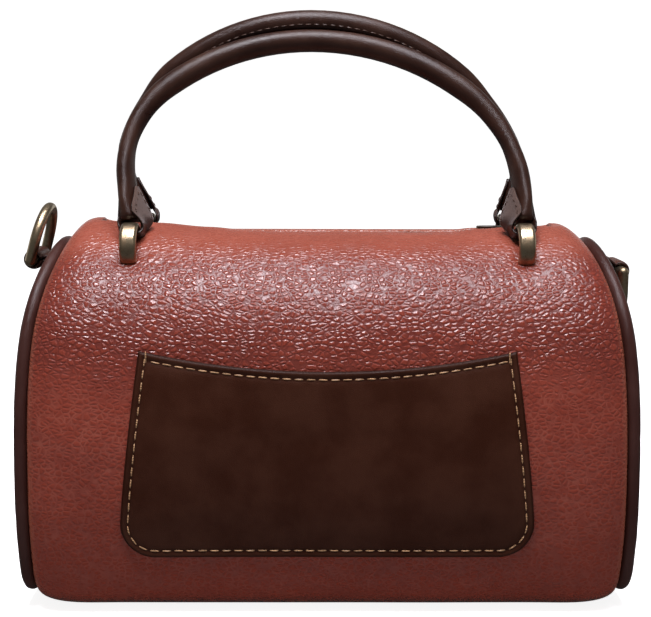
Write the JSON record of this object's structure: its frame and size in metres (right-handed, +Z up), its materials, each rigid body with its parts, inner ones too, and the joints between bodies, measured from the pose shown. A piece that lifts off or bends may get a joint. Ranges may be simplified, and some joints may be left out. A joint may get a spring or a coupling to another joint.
{
  "type": "barrel bag",
  "caption": "Small leather barrel bag with a zip top, a slip pocket, two rolled handles on brass rings and a strap ring at each end.",
  "frame": {"origin": "centre of the bag's flat bottom, on the surface that it stands on", "axes": "+X along the bag to its right end, +Y from the pocket side to the back, +Z up"},
  "size_m": [0.2622, 0.1299, 0.249],
  "materials": {
    "rust_leather": "pebbled grain, semi-gloss",
    "brown_leather": "smooth, semi-gloss",
    "antique_brass": "aged, soft polish",
    "lining_cloth": "woven cotton",
    "zip_tape": "woven tape",
    "core_cord": "twisted cotton",
    "stiffener_board": "matt board"
  },
  "bodies": {
    "bag": {"body_wrap": "rust_leather", "end_panel_left": "rust_leather", "end_panel_right": "rust_leather", "end_stiffener_left": "stiffener_board", "end_stiffener_right": "stiffener_board", "base_board": "stiffener_board", "binding_left": "brown_leather", "binding_right": "brown_leather", "pocket_panel": "brown_leather", "strap_tab_left": "brown_leather", "strap_tab_right": "brown_leather", "ring_anchor_front_left": "brown_leather", "ring_anchor_front_right": "brown_leather", "ring_anchor_rear_left": "brown_leather", "ring_anchor_rear_right": "brown_leather", "lining": "lining_cloth", "zip_tape_front": "zip_tape", "zip_tape_rear": "zip_tape", "zip_teeth_front": "antique_brass", "zip_teeth_rear": "antique_brass", "zip_stops": "antique_brass", "handle_ring_front_left": "antique_brass", "handle_ring_front_right": "antique_brass", "handle_ring_rear_left": "antique_brass", "handle_ring_rear_right": "antique_brass"},
    "handle_front": {"handle_front": "brown_leather", "handle_core_front": "core_cord"},
    "handle_rear": {"handle_rear": "brown_leather", "handle_core_rear": "core_cord"},
    "strap_ring_left": {"d_ring_left": "antique_brass"},
    "strap_ring_right": {"d_ring_right": "antique_brass"},
    "slider": {"zip_slider": "antique_brass"},
    "pull": {"zip_pull": "antique_brass"}
  },
  "joints": [
    {"name": "handle_front_swing", "type": "hinge", "parent": "bag", "child": "handle_front", "pos_m": [0, -0.0281, 0.14874], "axis": [1, 0, 0], "range_deg": [0, 124]},
    {"name": "handle_rear_swing", "type": "hinge", "parent": "bag", "child": "handle_rear", "pos_m": [0, 0.0281, 0.14874], "axis": [1, 0, 0], "range_deg": [-105, 0]},
    {"name": "strap_ring_left_swing", "type": "hinge", "parent": "bag", "child": "strap_ring_left", "pos_m": [-0.12679, 0, 0.1413], "axis": [0, -1, 0], "range_deg": [-31, 195]},
    {"name": "strap_ring_right_swing", "type": "hinge", "parent": "bag", "child": "strap_ring_right", "pos_m": [0.12679, 0, 0.1368], "axis": [0, -1, 0], "range_deg": [-3, 213]},
    {"name": "zip_travel", "type": "slide", "parent": "bag", "child": "slider", "axis": [1, 0, 0], "range_m": [-0.16, 0]},
    {"name": "pull_swing", "type": "hinge", "parent": "slider", "child": "pull", "pos_m": [0.08325, 0, 0.15475], "axis": [0, 1, 0], "range_deg": [0, 160]}
  ]
}
